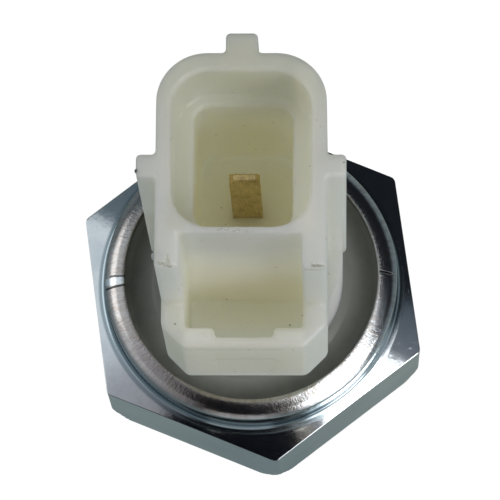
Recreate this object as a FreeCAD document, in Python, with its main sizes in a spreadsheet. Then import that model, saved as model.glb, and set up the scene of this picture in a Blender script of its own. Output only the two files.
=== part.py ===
"""Oil pressure sender: hexagon steel body, moulded blade connector and the pressure switch inside.

The frame stands on the end of the pipe thread: the origin is the middle of that end face, +Z runs
up through the connector, and -Y is the side with the latch frame. All sizes are in millimetres.
"""
import FreeCAD, Part
import math
import os
from enum import IntEnum

import Sketcher

DRIVING_SIZES = {
    # threaded shank, a 1/4 inch taper pipe thread drawn at its pitch diameter
    "shank_length": 14.5,
    "thread_length": 12.6,
    "thread_end_diameter": 12.13,
    "thread_taper": 16.0,
    "thread_end_chamfer": 0.9,
    "neck_diameter": 12.2,
    # hexagon and rolled collar
    "across_flats": 27.0,
    "hexagon_corner_turn": -82.1,
    "hexagon_thickness": 8.0,
    "hexagon_corner_round": 0.6,
    "hexagon_underside_margin": 0.6,
    "collar_diameter": 24.92,
    "collar_foot_round": 0.63,
    "lip_height": 3.4,
    "lip_bend": 1.5,
    "lip_opening_diameter": 21.54,
    "lip_edge_round": 0.3,
    # cavity of the steel body
    "cavity_diameter": 22.4,
    "cavity_depth": 3.55,
    "lower_seat_diameter": 21.2,
    "lower_seat_depth": 1.45,
    "chamber_depth": 0.8,
    "oil_port_diameter": 3.2,
    "oil_port_mouth": 1.2,
    # diaphragm, its seal and the plate that backs it
    "seal_margin": 0.5,
    "seal_width": 1.8,
    "seal_land": 0.9,
    "seal_height": 1.3,
    "seal_round": 0.5,
    "diaphragm_thickness": 0.25,
    "diaphragm_bead_inset": 1.2,
    "diaphragm_bead_width": 1.6,
    "diaphragm_bead_depth": 0.45,
    "seat_clearance": 0.1,
    "guide_clearance": 0.08,
    # plunger and moving contact
    "plunger_foot_diameter": 10.0,
    "plunger_body_diameter": 8.4,
    "plunger_body_length": 4.15,
    "plunger_stem_diameter": 3.4,
    "contact_sheet": 0.4,
    "contact_brim_diameter": 10.4,
    "contact_crown_diameter": 4.4,
    "contact_crown_height": 5.8,
    "contact_button_diameter": 2.8,
    "contact_button_height": 0.5,
    "contact_travel": 0.6,
    # spring and the earthing cup that it pushes against
    "spring_wire": 0.5,
    "spring_mean_diameter": 8.8,
    "spring_turns": 4.5,
    "cup_sheet": 0.5,
    "cup_wall_diameter": 12.2,
    "cup_mouth_diameter": 6.8,
    "cup_top_above_hexagon": 8.0,
    # blade terminal and its contact rivet
    "blade_width": 2.45,
    "blade_thickness": 0.65,
    "blade_offset": 2.65,
    "blade_tip_bevel": 0.12,
    "blade_tip_corner": 0.35,
    "terminal_above_cup": 0.6,
    "terminal_eye_reach": 1.6,
    "rivet_head_diameter": 3.0,
    "rivet_shank_diameter": 1.2,
    "rivet_head_height": 1.1,
    # connector housing: flange and boss
    "flange_above_hexagon": 0.3,
    "boss_diameter": 15.6,
    "boss_above_hexagon": 10.7,
    "terminal_pocket_diameter": 7.4,
    # connector housing: tower, seen from above
    "rim_above_hexagon": 33.5,
    "tower_half_width": 6.6,
    "tower_front": 4.4,
    "tower_rear": 10.1,
    "tower_rear_round": 3.9,
    "key_width": 2.5,
    "key_reach": 1.6,
    "wing_half_span": 8.1,
    "wing_front": 0.05,
    "wing_thickness": 1.85,
    "corner_blend": 0.35,
    # connector housing: sockets
    "mouth_half_width": 5.4,
    "mouth_front": 3.9,
    "mouth_rear": 8.6,
    "mouth_round": 3.0,
    "mouth_depth": 6.0,
    "socket_half_width": 3.9,
    "socket_front": 2.4,
    "socket_rear": 7.55,
    "socket_round": 1.3,
    "socket_floor_above_hexagon": 13.3,
    "blade_tip_above_floor": 10.9,
    # connector housing: latch frame
    "rail_front": 7.15,
    "rail_thickness": 1.9,
    "latch_front": 10.75,
    "latch_wall": 1.6,
    "latch_bottom_above_hexagon": 11.9,
    "latch_top_above_hexagon": 22.4,
    "latch_floor_above_hexagon": 12.3,
    "latch_corner_cut": 1.75,
    "notch_width": 4.7,
    "notch_depth": 0.77,
    "panel_width": 4.8,
    "panel_height": 6.1,
    "panel_depth": 0.12,
    "panel_margin": 0.5,
    # sealing compound
    "compound_height": 0.9,
    "compound_edge_rise": 0.5,
    "compound_fillet": 0.8,
}


class Size:
    """A length that knows its number and the sheet expression that it comes from."""

    def __init__(self, number, text=None):
        self.number = float(number)
        self.text = text if text else repr(float(number))

    def joined(self, sign, other, number):
        other = as_size(other)
        return Size(number, f"({self.text} {sign} {other.text})")

    def __add__(self, other):
        return self.joined("+", other, self.number + as_size(other).number)

    def __sub__(self, other):
        return self.joined("-", other, self.number - as_size(other).number)

    def __mul__(self, other):
        return self.joined("*", other, self.number * as_size(other).number)

    def __truediv__(self, other):
        return self.joined("/", other, self.number / as_size(other).number)

    def __neg__(self):
        return Size(-self.number, f"(0 - {self.text})")

    def root(self):
        return Size(math.sqrt(self.number), f"sqrt({self.text})")


def as_size(value):
    return value if isinstance(value, Size) else Size(value)


document = FreeCAD.newDocument("OilPressureSender")
sheet = document.addObject("Spreadsheet::Sheet", "Sizes")


def fill_sheet():
    """Write each driving size into its own row and name the cell."""
    sizes = {}
    for row, (name, number) in enumerate(DRIVING_SIZES.items(), start=1):
        sheet.set(f"A{row}", name)
        sheet.set(f"B{row}", str(number))
        sheet.setAlias(f"B{row}", name)
        sizes[name] = Size(number, f"Sizes.{name}")
    document.recompute()
    return sizes


size = fill_sheet()

ZERO = Size(0.0)
NEAR = 1e-6


class Fixed(IntEnum):
    """What every sketch holds from the start."""

    ORIGIN = -1
    VERTICAL_AXIS = -2


class Spot(IntEnum):
    """Which point of a line, arc or circle a constraint holds."""

    START = 1
    END = 2
    CENTRE = 3


def radius(name):
    return size[name] / 2


def new_body(label):
    body = document.addObject("PartDesign::Body", label)
    body.Label = label
    return body


def origin_plane(body, role):
    return next(plane for plane in body.Origin.OriginFeatures if plane.Role == role)


def new_sketch(body, name, role, height=None):
    """Add a sketch on an origin plane, lifted by a bound height where one is given."""
    sketch = body.newObject("Sketcher::SketchObject", name)
    sketch.AttachmentSupport = [(origin_plane(body, role), "")]
    sketch.MapMode = "FlatFace"
    if height is not None:
        sketch.setExpression("AttachmentOffset.Base.z", height.text)
    return sketch


def bind(sketch, kind, terms, value):
    """Add a dimension to a sketch and tie it to the sheet."""
    row = sketch.addConstraint(Sketcher.Constraint(kind, *terms, value.number))
    sketch.setExpression(f"Constraints[{row}]", value.text)


def pin_point(sketch, geometry, end, x, y):
    """Hold one end of a line or arc at its two distances from the sketch's origin."""
    if x is ZERO:
        sketch.addConstraint(Sketcher.Constraint("PointOnObject", geometry, end, Fixed.VERTICAL_AXIS))
    else:
        bind(sketch, "DistanceX", (Fixed.ORIGIN, Spot.START, geometry, end), x)
    bind(sketch, "DistanceY", (Fixed.ORIGIN, Spot.START, geometry, end), y)


def arc_between(start, end, bend):
    """Arc from start to end, left-handed for a positive radius and right-handed for a negative one."""
    chord = end - start
    middle = (start + end) * 0.5
    reach = math.sqrt(max(bend * bend - chord.Length ** 2 / 4, 0.0))
    across = FreeCAD.Vector(-chord.y, chord.x, 0).normalize()
    centre = middle + across * (reach if bend > 0 else -reach)
    first = math.atan2(start.y - centre.y, start.x - centre.x)
    last = math.atan2(end.y - centre.y, end.x - centre.x)
    if bend < 0:
        first, last = last, first
    circle = Part.Circle(centre, FreeCAD.Vector(0, 0, 1), abs(bend))
    return Part.ArcOfCircle(circle, first, last)


def outline(sketch, corners):
    """Draw a closed outline; a corner is (x, y), or (x, y, bend) where an arc leaves it."""
    count = len(corners)
    points = [FreeCAD.Vector(corner[0].number, corner[1].number, 0) for corner in corners]
    starts = []
    ends = []
    for row, corner in enumerate(corners):
        here, there = points[row], points[(row + 1) % count]
        if len(corner) == 2:
            sketch.addGeometry(Part.LineSegment(here, there), False)
            starts.append(Spot.START)
            ends.append(Spot.END)
            continue
        bend = corner[2]
        sketch.addGeometry(arc_between(here, there, bend.number), False)
        starts.append(Spot.START if bend.number > 0 else Spot.END)
        ends.append(Spot.END if bend.number > 0 else Spot.START)
    for row in range(count):
        after = (row + 1) % count
        sketch.addConstraint(Sketcher.Constraint("Coincident", row, ends[row], after, starts[after]))
    for row, corner in enumerate(corners):
        pin_point(sketch, row, starts[row], corner[0], corner[1])
        if len(corner) == 3:
            bend = corner[2]
            bind(sketch, "Radius", (row,), bend if bend.number > 0 else -bend)


def rectangle(sketch, left, right, low, high):
    outline(sketch, [(left, low), (right, low), (right, high), (left, high)])


def rounded_rectangle(sketch, left, right, low, high, low_round, high_round):
    """Rectangle whose two low corners and two high corners have their own rounds."""
    if low_round is ZERO:
        start = [(left, low), (right, low)]
    else:
        start = [(left + low_round, low), (right - low_round, low, low_round),
                 (right, low + low_round)]
    finish = [(right, high - high_round, high_round), (right - high_round, high),
              (left + high_round, high, high_round)]
    last = [(left, high - high_round)]
    if low_round is not ZERO:
        last = [(left, high - high_round), (left, low + low_round, low_round)]
    outline(sketch, start + finish + last)


def turned(body, name, corners, kind="PartDesign::Revolution"):
    """Turn an outline of radius and height right round the Z axis, as metal or as a cut."""
    sketch = new_sketch(body, name + "Outline", "XZ_Plane")
    outline(sketch, corners)
    feature = body.newObject(kind, name)
    feature.Profile = sketch
    feature.ReferenceAxis = (sketch, ["V_Axis"])
    feature.Angle = 360.0
    return feature


def raised(body, name, low, high, draw):
    """Pad a plan outline from a low level up to a high one."""
    sketch = new_sketch(body, name + "Plan", "XY_Plane", low)
    draw(sketch)
    pad = body.newObject("PartDesign::Pad", name)
    pad.Profile = sketch
    pad.setExpression("Length", (high - low).text)
    return pad


def sunk(body, name, low, high, draw):
    """Cut a plan outline from a high level down to a low one."""
    sketch = new_sketch(body, name + "Plan", "XY_Plane", high)
    draw(sketch)
    pocket = body.newObject("PartDesign::Pocket", name)
    pocket.Profile = sketch
    pocket.setExpression("Length", (high - low).text)
    return pocket


def rounded_edges(body, name, base, bend, chosen):
    """Round the edges of a feature that the test picks out."""
    document.recompute()
    names = [f"Edge{row}" for row, edge in enumerate(base.Shape.Edges, start=1) if chosen(edge)]
    fillet = body.newObject("PartDesign::Fillet", name)
    fillet.Base = (base, names)
    fillet.setExpression("Radius", bend.text)
    return fillet


def is_upright(edge):
    first, last = edge.Vertexes[0].Point, edge.Vertexes[-1].Point
    return math.hypot(first.x - last.x, first.y - last.y) < NEAR and abs(first.z - last.z) > NEAR


def is_ring(edge, ring_radius, level):
    curve = edge.Curve
    return (curve.TypeId == "Part::GeomCircle" and abs(curve.Center.z - level) < NEAR
            and abs(curve.Radius - ring_radius) < NEAR)


# levels that several pieces share
hexagon_bottom = size["shank_length"]
hexagon_top = hexagon_bottom + size["hexagon_thickness"]
upper_seat = hexagon_top - size["cavity_depth"]
lower_seat = upper_seat - size["lower_seat_depth"]
chamber_floor = lower_seat - size["chamber_depth"]
diaphragm_top = lower_seat + size["diaphragm_thickness"]
flange_bottom = upper_seat + size["cup_sheet"]
flange_top = hexagon_top + size["flange_above_hexagon"]
boss_top = hexagon_top + size["boss_above_hexagon"]
cup_top = hexagon_top + size["cup_top_above_hexagon"]
cup_seat = cup_top - size["cup_sheet"]
terminal_bottom = cup_top + size["terminal_above_cup"]
terminal_top = terminal_bottom + size["blade_thickness"]
contact_face = terminal_bottom - size["rivet_head_height"]
button_top = contact_face - size["contact_travel"]
crown_top = button_top - size["contact_button_height"]
stem_top = crown_top - size["contact_sheet"]
brim_bottom = crown_top - size["contact_crown_height"]
brim_top = brim_bottom + size["contact_sheet"]
rim = hexagon_top + size["rim_above_hexagon"]
socket_floor = hexagon_top + size["socket_floor_above_hexagon"]
blade_tip = socket_floor + size["blade_tip_above_floor"]
latch_bottom = hexagon_top + size["latch_bottom_above_hexagon"]
latch_top = hexagon_top + size["latch_top_above_hexagon"]
latch_floor = hexagon_top + size["latch_floor_above_hexagon"]
collar_top = hexagon_top + size["lip_height"]

# radii that fit into each other
cavity_fit_radius = radius("cavity_diameter") - size["seat_clearance"]
lower_fit_radius = radius("lower_seat_diameter") - size["seat_clearance"]
guide_radius = radius("plunger_foot_diameter") + size["guide_clearance"]
seal_outer = radius("lower_seat_diameter") - size["seal_margin"]
seal_inner = seal_outer - size["seal_width"]
chamber_radius = seal_inner - size["seal_land"]
bead_radius = chamber_radius - size["diaphragm_bead_inset"]


def make_hex_body():
    """Steel body: hexagon, taper-threaded shank, collar rolled inward at its lip, and the cavity."""
    body = new_body("hex_body")
    prism = body.newObject("PartDesign::AdditivePrism", "Hexagon")
    prism.Polygon = 6
    prism.AttachmentSupport = [(origin_plane(body, "XY_Plane"), "")]
    prism.MapMode = "FlatFace"
    prism.setExpression("Circumradius", (size["across_flats"] / math.sqrt(3)).text)
    prism.setExpression("Height", size["hexagon_thickness"].text)
    prism.setExpression("AttachmentOffset.Base.z", hexagon_bottom.text)
    prism.setExpression("AttachmentOffset.Rotation.Yaw", size["hexagon_corner_turn"].text)
    rounded_edges(body, "HexagonCorners", prism, size["hexagon_corner_round"], is_upright)
    margin = size["hexagon_underside_margin"]
    flat = size["across_flats"] / 2
    corner = size["across_flats"] / math.sqrt(3)
    turned(body, "UndersideChamfer", [
        (flat, hexagon_bottom - margin),
        (corner + margin, hexagon_bottom - margin),
        (corner + margin, hexagon_bottom + corner - flat),
    ], "PartDesign::Groove")

    thread_end = radius("thread_end_diameter")
    thread_start = thread_end + size["thread_length"] / (size["thread_taper"] * 2)
    chamfer = size["thread_end_chamfer"]
    neck = radius("neck_diameter")
    middle = hexagon_bottom + size["hexagon_thickness"] / 2
    collar = radius("collar_diameter")
    foot = size["collar_foot_round"]
    bend = size["lip_bend"]
    turned(body, "TurnedForm", [
        (ZERO, ZERO),
        (thread_end - chamfer, ZERO),
        (thread_end, chamfer),
        (thread_start, size["thread_length"]),
        (neck, size["thread_length"] + (thread_start - neck)),
        (neck, middle),
        (collar + foot, middle),
        (collar + foot, hexagon_top, -foot),
        (collar, hexagon_top + foot),
        (collar, collar_top - bend, bend),
        (collar - bend, collar_top),
        (ZERO, collar_top),
    ])

    port = radius("oil_port_diameter")
    mouth = size["oil_port_mouth"]
    cavity = radius("cavity_diameter")
    lip = radius("lip_opening_diameter")
    turned(body, "Cavity", [
        (ZERO, -mouth),
        (port + mouth * 2, -mouth),
        (port, mouth),
        (port, chamber_floor),
        (chamber_radius, chamber_floor),
        (chamber_radius, lower_seat),
        (seal_inner, lower_seat),
        (seal_inner, lower_seat - size["seal_height"]),
        (seal_outer, lower_seat - size["seal_height"]),
        (seal_outer, lower_seat),
        (radius("lower_seat_diameter"), lower_seat),
        (radius("lower_seat_diameter"), upper_seat),
        (cavity, upper_seat),
        (cavity, collar_top - bend),
        (lip, collar_top - bend + (cavity - lip)),
        (lip, collar_top + bend),
        (ZERO, collar_top + bend),
    ], "PartDesign::Groove")
    rounded_edges(body, "LipEdge", body.Tip, size["lip_edge_round"],
                  lambda edge: is_ring(edge, lip.number, collar_top.number))
    return body


def make_diaphragm_seal():
    """Rubber ring in the groove under the diaphragm."""
    body = new_body("diaphragm_seal")
    bottom = lower_seat - size["seal_height"]
    bend = size["seal_round"]
    turned(body, "Ring", [
        (seal_inner + bend, bottom),
        (seal_outer - bend, bottom, bend),
        (seal_outer, bottom + bend),
        (seal_outer, lower_seat - bend, bend),
        (seal_outer - bend, lower_seat),
        (seal_inner + bend, lower_seat, bend),
        (seal_inner, lower_seat - bend),
        (seal_inner, bottom + bend, bend),
    ])
    return body


def make_diaphragm():
    """Thin film with one rolled bead that lets its middle lift."""
    body = new_body("diaphragm")
    half = size["diaphragm_bead_width"] / 2
    drop = size["diaphragm_bead_depth"]
    sheet_thickness = size["diaphragm_thickness"]
    under = (half * half + drop * drop) / (drop * 2)
    over = under - sheet_thickness
    lift = over - drop
    over_half = (over * over - lift * lift).root()
    turned(body, "Film", [
        (ZERO, lower_seat),
        (bead_radius - half, lower_seat, under),
        (bead_radius + half, lower_seat),
        (lower_fit_radius, lower_seat),
        (lower_fit_radius, diaphragm_top),
        (bead_radius + over_half, diaphragm_top, -over),
        (bead_radius - over_half, diaphragm_top),
        (ZERO, diaphragm_top),
    ])
    return body


def make_guide_washer():
    """Steel plate that backs the diaphragm and guides the plunger's foot."""
    body = new_body("guide_washer")
    turned(body, "Washer", [
        (guide_radius, diaphragm_top),
        (lower_fit_radius, diaphragm_top),
        (lower_fit_radius, upper_seat),
        (guide_radius, upper_seat),
    ])
    return body


def make_plunger():
    """Moulded pusher that carries the moving contact on its stem."""
    body = new_body("plunger")
    foot = radius("plunger_foot_diameter")
    barrel = radius("plunger_body_diameter")
    stem = radius("plunger_stem_diameter")
    turned(body, "Pusher", [
        (ZERO, diaphragm_top),
        (foot, diaphragm_top),
        (foot, brim_bottom - size["plunger_body_length"]),
        (barrel, brim_bottom - size["plunger_body_length"]),
        (barrel, brim_bottom),
        (stem, brim_bottom),
        (stem, stem_top),
        (ZERO, stem_top),
    ])
    return body


def make_contact_plate():
    """Drawn brass hat: the brim seats the spring and the crown carries the button."""
    body = new_body("contact_plate")
    brim = radius("contact_brim_diameter")
    crown = radius("contact_crown_diameter")
    bore = crown - size["contact_sheet"]
    turned(body, "Hat", [
        (bore, brim_bottom),
        (brim, brim_bottom),
        (brim, brim_top),
        (crown, brim_top),
        (crown, crown_top),
        (ZERO, crown_top),
        (ZERO, stem_top),
        (bore, stem_top),
    ])
    return body


def make_contact_button():
    """Silver button on top of the moving contact."""
    body = new_body("contact_button")
    button = radius("contact_button_diameter")
    turned(body, "Button", [
        (ZERO, crown_top),
        (button, crown_top),
        (button, button_top),
        (ZERO, button_top),
    ])
    return body


def make_ground_cup():
    """Deep drawn steel cup, upside down: earthed at its flange, the spring pushes on its end."""
    body = new_body("ground_cup")
    wall = radius("cup_wall_diameter")
    inside = wall - size["cup_sheet"]
    mouth = radius("cup_mouth_diameter")
    turned(body, "Cup", [
        (inside, upper_seat),
        (cavity_fit_radius, upper_seat),
        (cavity_fit_radius, flange_bottom),
        (wall, flange_bottom),
        (wall, cup_top),
        (mouth, cup_top),
        (mouth, cup_seat),
        (inside, cup_seat),
    ])
    return body


def make_return_spring():
    """Round wire coil between the moving contact's brim and the cup."""
    body = new_body("return_spring")
    wire = radius("spring_wire")
    sketch = new_sketch(body, "Wire", "XZ_Plane")
    centre = FreeCAD.Vector(radius("spring_mean_diameter").number, (brim_top + wire).number, 0)
    sketch.addGeometry(Part.Circle(centre, FreeCAD.Vector(0, 0, 1), wire.number), False)
    bind(sketch, "Radius", (0,), wire)
    pin_point(sketch, 0, Spot.CENTRE, radius("spring_mean_diameter"), brim_top + wire)
    coil = body.newObject("PartDesign::AdditiveHelix", "Coil")
    coil.Profile = sketch
    coil.ReferenceAxis = (sketch, ["V_Axis"])
    coil.Mode = "height-turns-angle"
    coil.setExpression("Height", (cup_seat - brim_top - wire * 2).text)
    coil.setExpression("Turns", size["spring_turns"].text)
    return body


def make_fixed_contact():
    """Silver-faced rivet through the eye of the terminal."""
    body = new_body("fixed_contact")
    head = radius("rivet_head_diameter")
    shank = radius("rivet_shank_diameter")
    turned(body, "Rivet", [
        (ZERO, contact_face),
        (head, contact_face),
        (head, terminal_bottom),
        (shank, terminal_bottom),
        (shank, terminal_top),
        (ZERO, terminal_top),
    ])
    return body


def cut_tip(body, name, width, along):
    """Chamfer the edges at the blade's tip that run the way the test asks."""
    document.recompute()
    base = body.Tip
    names = []
    for row, edge in enumerate(base.Shape.Edges, start=1):
        ends = [corner.Point for corner in edge.Vertexes]
        if all(abs(end.z - blade_tip.number) < NEAR for end in ends) and along(ends[1] - ends[0]):
            names.append(f"Edge{row}")
    cut = body.newObject("PartDesign::Chamfer", name)
    cut.Base = (base, names)
    cut.setExpression("Size", size[width].text)


def make_blade_terminal():
    """Brass strip bent once: the blade stands in the socket, the eye takes the contact rivet."""
    body = new_body("blade_terminal")
    half = size["blade_thickness"] / 2
    front = size["blade_offset"] - half
    rear = size["blade_offset"] + half
    sketch = new_sketch(body, "StripSide", "YZ_Plane")
    outline(sketch, [
        (-size["terminal_eye_reach"], terminal_bottom),
        (rear, terminal_bottom),
        (rear, blade_tip),
        (front, blade_tip),
        (front, terminal_top),
        (-size["terminal_eye_reach"], terminal_top),
    ])
    strip = body.newObject("PartDesign::Pad", "Strip")
    strip.Profile = sketch
    strip.Midplane = True
    strip.setExpression("Length", size["blade_width"].text)
    cut_tip(body, "TipCorners", "blade_tip_corner", lambda run: abs(run.x) < NEAR)
    cut_tip(body, "TipBevel", "blade_tip_bevel", lambda run: abs(run.y) < NEAR)
    eye = new_sketch(body, "EyePlan", "XY_Plane", terminal_top)
    eye.addGeometry(Part.Circle(FreeCAD.Vector(0, 0, 0), FreeCAD.Vector(0, 0, 1), 0.5), False)
    bind(eye, "Radius", (0,), radius("rivet_shank_diameter"))
    eye.addConstraint(Sketcher.Constraint("Coincident", 0, Spot.CENTRE, Fixed.ORIGIN, Spot.START))
    hole = body.newObject("PartDesign::Pocket", "Eye")
    hole.Profile = eye
    hole.setExpression("Length", size["blade_thickness"].text)
    return body


def make_connector_housing():
    """One nylon moulding: clamped flange, hollow boss, socket tower, wings, key and latch frame."""
    body = new_body("connector_housing")
    boss = radius("boss_diameter")
    bore = radius("cup_wall_diameter")
    pocket = radius("terminal_pocket_diameter")
    turned(body, "Boss", [
        (bore, flange_bottom),
        (cavity_fit_radius, flange_bottom),
        (cavity_fit_radius, flange_top),
        (boss, flange_top),
        (boss, boss_top),
        (ZERO, boss_top),
        (ZERO, terminal_top),
        (pocket, terminal_top),
        (pocket, cup_top),
        (bore, cup_top),
    ])
    wide = size["tower_half_width"]
    front = -size["tower_front"]
    rear = size["tower_rear"]
    raised(body, "Tower", boss_top, rim, lambda plan: rounded_rectangle(
        plan, -wide, wide, front, rear, ZERO, size["tower_rear_round"]))
    wing_front = size["wing_front"]
    span = size["wing_half_span"]
    raised(body, "Wings", boss_top, rim, lambda plan: rectangle(
        plan, -span, span, wing_front, wing_front + size["wing_thickness"]))
    key = size["key_width"] / 2
    raised(body, "Key", boss_top, rim, lambda plan: rectangle(
        plan, -key, key, rear - size["key_reach"], rear + size["key_reach"]))
    rail_front = -size["rail_front"]
    raised(body, "Rails", boss_top, rim, lambda plan: rectangle(
        plan, -wide, wide, rail_front, front + size["latch_wall"]))
    latch_front = -size["latch_front"]
    cut = size["latch_corner_cut"]
    raised(body, "LatchFrame", latch_bottom, latch_top, lambda plan: outline(plan, [
        (-wide + cut, latch_front),
        (wide - cut, latch_front),
        (wide, latch_front + cut),
        (wide, front),
        (-wide, front),
        (-wide, latch_front + cut),
    ]))

    slot = wide - size["rail_thickness"]
    slot_front = latch_front + size["latch_wall"]
    sunk(body, "LatchSlot", latch_floor, rim, lambda plan: rectangle(
        plan, -slot, slot, slot_front, front))
    notch = size["notch_width"] / 2
    sunk(body, "LatchNotch", latch_floor, latch_top, lambda plan: rectangle(
        plan, -notch, notch, slot_front - size["notch_depth"], slot_front))
    panel = size["panel_width"] / 2
    panel_bottom = latch_bottom + size["panel_margin"]
    sunk(body, "LatchPanel", panel_bottom, panel_bottom + size["panel_height"],
         lambda plan: rectangle(plan, -panel, panel, latch_front, latch_front + size["panel_depth"]))

    mouth = size["mouth_half_width"]
    sunk(body, "Mouth", rim - size["mouth_depth"], rim, lambda plan: rounded_rectangle(
        plan, -mouth, mouth, -size["mouth_front"], size["mouth_rear"],
        size["mouth_round"], size["mouth_round"]))
    socket = size["socket_half_width"]
    sunk(body, "Socket", socket_floor, rim, lambda plan: rounded_rectangle(
        plan, -socket, socket, -size["socket_front"], size["socket_rear"],
        size["socket_round"], size["socket_round"]))
    blade = size["blade_width"] / 2
    half = size["blade_thickness"] / 2
    offset = size["blade_offset"]
    sunk(body, "BladeSlot", terminal_top, socket_floor, lambda plan: rectangle(
        plan, -blade, blade, offset - half, offset + half))

    wing_rear = wing_front + size["wing_thickness"]
    inner_corners = [(wide.number, wing_front.number), (wide.number, wing_rear.number),
                     (key.number, rear.number)]
    rounded_edges(body, "PlanBlends", body.Tip, size["corner_blend"],
                  lambda edge: is_upright(edge) and any(
                      math.hypot(abs(edge.Vertexes[0].Point.x) - x, edge.Vertexes[0].Point.y - y) < NEAR
                      for x, y in inner_corners))
    return body


def make_sealing_compound():
    """Dark ring of compound poured round the boss and under the rolled lip."""
    body = new_body("sealing_compound")
    boss = radius("boss_diameter")
    cavity = radius("cavity_diameter")
    level = flange_top + size["compound_height"]
    high = level + size["compound_edge_rise"]
    fillet = size["compound_fillet"]
    turned(body, "Ring", [
        (boss, flange_top),
        (cavity, flange_top),
        (cavity, high),
        (cavity - fillet, level),
        (boss + fillet, level, -fillet * 2),
        (boss, high),
    ])
    return body


MAKERS = (
    make_hex_body,
    make_diaphragm_seal,
    make_diaphragm,
    make_guide_washer,
    make_plunger,
    make_contact_plate,
    make_contact_button,
    make_ground_cup,
    make_return_spring,
    make_fixed_contact,
    make_blade_terminal,
    make_connector_housing,
    make_sealing_compound,
)


def check_document():
    """Stop if any object failed or did nothing."""
    for thing in document.Objects:
        if "Invalid" in thing.State or "Error" in thing.State:
            raise RuntimeError(f"{thing.Name} failed: {thing.State}")


def write_piece(body):
    shape = body.Shape
    if shape.isNull() or not shape.isValid() or len(shape.Solids) != 1:
        raise RuntimeError(f"{body.Label} is not one good solid")
    shape.exportStep(f"parts/{body.Label}.step")
    print(f"{body.Label}: {shape.Volume:.1f} mm3")


bodies = [make() for make in MAKERS]
document.recompute()
check_document()
os.makedirs("parts", exist_ok=True)
for finished in bodies:
    write_piece(finished)
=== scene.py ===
"""Looks of the oil pressure sender: plated hexagon body, moulded blade connector, switch inside.

Lengths in the classes are millimetres; meshes are written in metres, in the frame of the solids:
the origin is the middle of the thread's end face, +Z runs up through the connector, and -Y is the
side with the latch frame.
"""
import logging
from contextlib import contextmanager
from dataclasses import dataclass
from enum import Enum
from functools import cached_property, reduce
from typing import Any, Callable, Iterator, Mapping, Sequence

import bmesh
import bpy
import numpy as np
from mathutils import Matrix, Vector


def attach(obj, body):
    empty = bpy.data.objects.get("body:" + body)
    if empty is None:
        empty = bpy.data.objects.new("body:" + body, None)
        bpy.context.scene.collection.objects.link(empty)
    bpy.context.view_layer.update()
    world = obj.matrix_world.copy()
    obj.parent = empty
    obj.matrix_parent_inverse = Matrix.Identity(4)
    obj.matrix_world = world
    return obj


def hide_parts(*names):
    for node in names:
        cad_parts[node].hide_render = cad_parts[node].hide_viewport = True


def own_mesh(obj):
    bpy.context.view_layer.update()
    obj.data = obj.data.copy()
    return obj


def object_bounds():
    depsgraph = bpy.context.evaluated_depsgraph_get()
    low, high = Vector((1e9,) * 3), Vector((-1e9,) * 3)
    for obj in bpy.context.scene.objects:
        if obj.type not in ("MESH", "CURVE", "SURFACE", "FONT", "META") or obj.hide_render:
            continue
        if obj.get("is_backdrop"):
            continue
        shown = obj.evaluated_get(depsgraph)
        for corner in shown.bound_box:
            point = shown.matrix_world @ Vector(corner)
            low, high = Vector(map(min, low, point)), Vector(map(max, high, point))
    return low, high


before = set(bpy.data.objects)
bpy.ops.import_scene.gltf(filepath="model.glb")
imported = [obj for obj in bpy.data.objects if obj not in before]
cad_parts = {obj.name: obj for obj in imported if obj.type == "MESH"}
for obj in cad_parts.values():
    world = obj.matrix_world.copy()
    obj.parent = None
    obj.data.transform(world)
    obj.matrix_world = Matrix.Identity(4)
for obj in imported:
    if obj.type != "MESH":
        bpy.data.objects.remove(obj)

log = logging.getLogger("oil_pressure_sender")

MM = 0.001
TURN = 2.0 * np.pi
WELD_DISTANCE = 2e-6
ON_PLANE = 1e-7
FLAT_DEGREES = 0.4
SHARP_DEGREES = 40.0
BLACK = (0.0, 0.0, 0.0)
WHITE = (1.0, 1.0, 1.0)

Array = np.ndarray
Piece = bpy.types.Object
Material = bpy.types.Material
Colour = tuple[float, float, float]
Point = tuple[float, float, float]
Station = tuple[float, float]
Band = tuple[float, float]  # where a smooth step is 0 and where it is 1


class Grain(Enum):
    """Which way the fine lines of a metal run."""

    RADIAL = "radial"
    LENGTHWISE = "lengthwise"
    ALL_WAYS = "all_ways"


# surfaces


def surface(name: str, points: Array, wrap_rows: bool = False,
            wrap_columns: bool = True) -> Piece:
    """Make a mesh object from a grid of points.

    The face between rows i, i+1 and columns j, j+1 is the quad (i,j) (i,j+1) (i+1,j+1) (i+1,j),
    with the last row or column joined to the first where it wraps.

    Args:
        name: Name of the object.
        points: Array of rows x columns x 3, in millimetres.
        wrap_rows: Whether the last row joins the first.
        wrap_columns: Whether the last column joins the first.

    Returns:
        The new object, linked to the scene.
    """
    rows, columns = points.shape[:2]
    index = np.arange(rows * columns).reshape(rows, columns)
    quads = np.stack([np.roll(index, shift, (0, 1)) for shift in ((0, 0), (0, -1), (-1, -1), (-1, 0))], -1)
    quads = quads[: rows if wrap_rows else rows - 1, : columns if wrap_columns else columns - 1]
    mesh = bpy.data.meshes.new(name)
    mesh.from_pydata((points * MM).reshape(-1, 3), [], quads.reshape(-1, 4))
    mesh.validate()
    made = bpy.data.objects.new(name, mesh)
    bpy.context.scene.collection.objects.link(made)
    return made


def smooth(piece: Piece, degrees: float) -> None:
    """Shade a piece smooth, with an edge kept sharp where its faces meet at more than the angle."""
    piece.data.shade_smooth()
    piece.data.set_sharp_from_angle(angle=np.radians(degrees))


def about_axis(radius: Array, turn: Array, height: Array) -> Array:
    """Points x = r cos t, y = r sin t, z = z, for numbers or arrays that fit one another."""
    return np.stack([radius * np.cos(turn), radius * np.sin(turn), height + 0.0 * turn], -1)


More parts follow.
